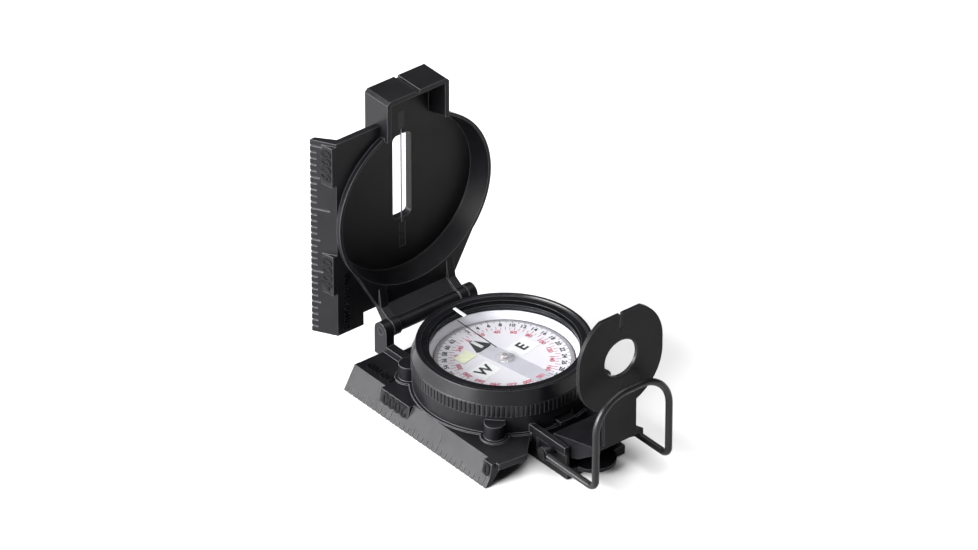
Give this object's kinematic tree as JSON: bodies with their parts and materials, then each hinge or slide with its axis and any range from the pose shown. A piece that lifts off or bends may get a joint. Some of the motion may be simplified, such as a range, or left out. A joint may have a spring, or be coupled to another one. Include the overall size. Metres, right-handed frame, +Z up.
{
  "type": "sighting compass",
  "caption": "Lensatic sighting compass: pivoted dial in a round housing under a notched turning bezel, folding slotted cover with sighting wire, folding lens sight, thumb loop and map ruler.",
  "frame": {"origin": "the bezel and dial axis at the surface that the compass lies on", "axes": "+Z up along the bezel and dial axis; +Y the sighting direction, from the rear sight towards the cover hinge; the map ruler runs along Y on the -X side; the cover and the rear sight stand upright at rest"},
  "size_m": [0.056, 0.1014, 0.0822],
  "materials": {
    "casting_black": "fine textured powder coat over a zinc die casting",
    "bezel_black": "satin black enamel on machined metal",
    "sheet_black": "fine textured powder coat over pressed sheet steel",
    "wire_black": "black coated steel wire",
    "clear_glass": "clear polished flat glass",
    "clear_plastic": "clear polished plastic",
    "lens_glass": "clear polished lens",
    "steel": "bright drawn steel",
    "spring_steel": "blued spring steel",
    "brass": "turned brass",
    "copper": "plain drawn copper",
    "magnet_steel": "ground cobalt steel",
    "seal_rubber": "moulded rubber",
    "dial_white": "matt white printed disc",
    "bowl_white": "white moulded plastic",
    "print_black": "matt black ink",
    "lume": "pale yellow-green phosphorescent paint",
    "jewel": "polished synthetic ruby"
  },
  "bodies": {
    "base": {"base_casting": "casting_black", "bottom_cap": "bezel_black", "cap_seal": "seal_rubber", "damping_cup": "copper", "dial_bowl": "bowl_white", "dial_pivot": "steel", "pivot_bridge": "brass", "crystal": "clear_glass", "crystal_ring": "bezel_black", "index_line": "print_black", "click_spring": "spring_steel", "lift_lever_pin": "steel", "sight_pin": "wire_black", "sight_spring": "spring_steel"},
    "bezel": {"bezel_ring": "bezel_black", "bezel_glass": "clear_glass", "glass_ring": "bezel_black", "bezel_marker": "lume", "bezel_wire": "spring_steel"},
    "dial": {"dial_card": "dial_white", "dial_magnet": "magnet_steel", "dial_hub": "clear_plastic", "dial_jewel": "jewel", "north_arrow": "print_black", "arrow_lume": "lume", "dial_lume": "lume"},
    "hinge_pin": {"hinge_pin": "sheet_black"},
    "cover": {"cover_casting": "casting_black", "sighting_wire": "spring_steel", "wire_anchors": "bezel_black"},
    "sight": {"sight_bracket": "sheet_black", "sight_lens": "lens_glass", "lens_ring": "bezel_black"},
    "loop": {"thumb_loop": "wire_black"},
    "lift_lever": {"lift_lever": "bezel_black"},
    "lift_sleeve": {"lift_sleeve": "brass"}
  },
  "joints": [
    {"name": "cover_close", "type": "hinge", "parent": "base", "child": "hinge_pin", "pos_m": [0, 0.0338, 0.0127], "axis": [1, 0, 0], "range_deg": [0, 90]},
    {"name": "cover_flatten", "type": "hinge", "parent": "hinge_pin", "child": "cover", "pos_m": [0, 0.0338, 0.0127], "axis": [-1, 0, 0], "range_deg": [0, 90]},
    {"name": "bezel_turn", "type": "hinge", "parent": "base", "child": "bezel", "pos_m": [0, 0, 0.0144], "axis": [0, 0, 1], "continuous": true},
    {"name": "dial_turn", "type": "hinge", "parent": "base", "child": "dial", "pos_m": [0, 0, 0.0147], "axis": [0, 0, 1], "continuous": true},
    {"name": "sight_fold", "type": "hinge", "parent": "base", "child": "sight", "pos_m": [0, -0.0324, 0.0062], "axis": [-1, 0, 0], "range_deg": [0, 90]},
    {"name": "thumb_loop_swing", "type": "hinge", "parent": "base", "child": "loop", "pos_m": [0, -0.0324, 0.0062], "axis": [1, 0, 0], "range_deg": [-5, 140]},
    {"name": "dial_lift_lever", "type": "hinge", "parent": "base", "child": "lift_lever", "pos_m": [0, -0.0192, 0.0087], "axis": [1, 0, 0], "range_deg": [0, 2.5]},
    {"name": "dial_lift_sleeve", "type": "slide", "parent": "base", "child": "lift_sleeve", "axis": [0, 0, 1], "range_m": [0, 0.0008]}
  ],
  "couplings": [
    {"joint": "dial_lift_lever", "follows": "sight_fold", "ratio": 0.027778},
    {"joint": "dial_lift_sleeve", "follows": "sight_fold", "m_per_rad": 0.000509}
  ]
}
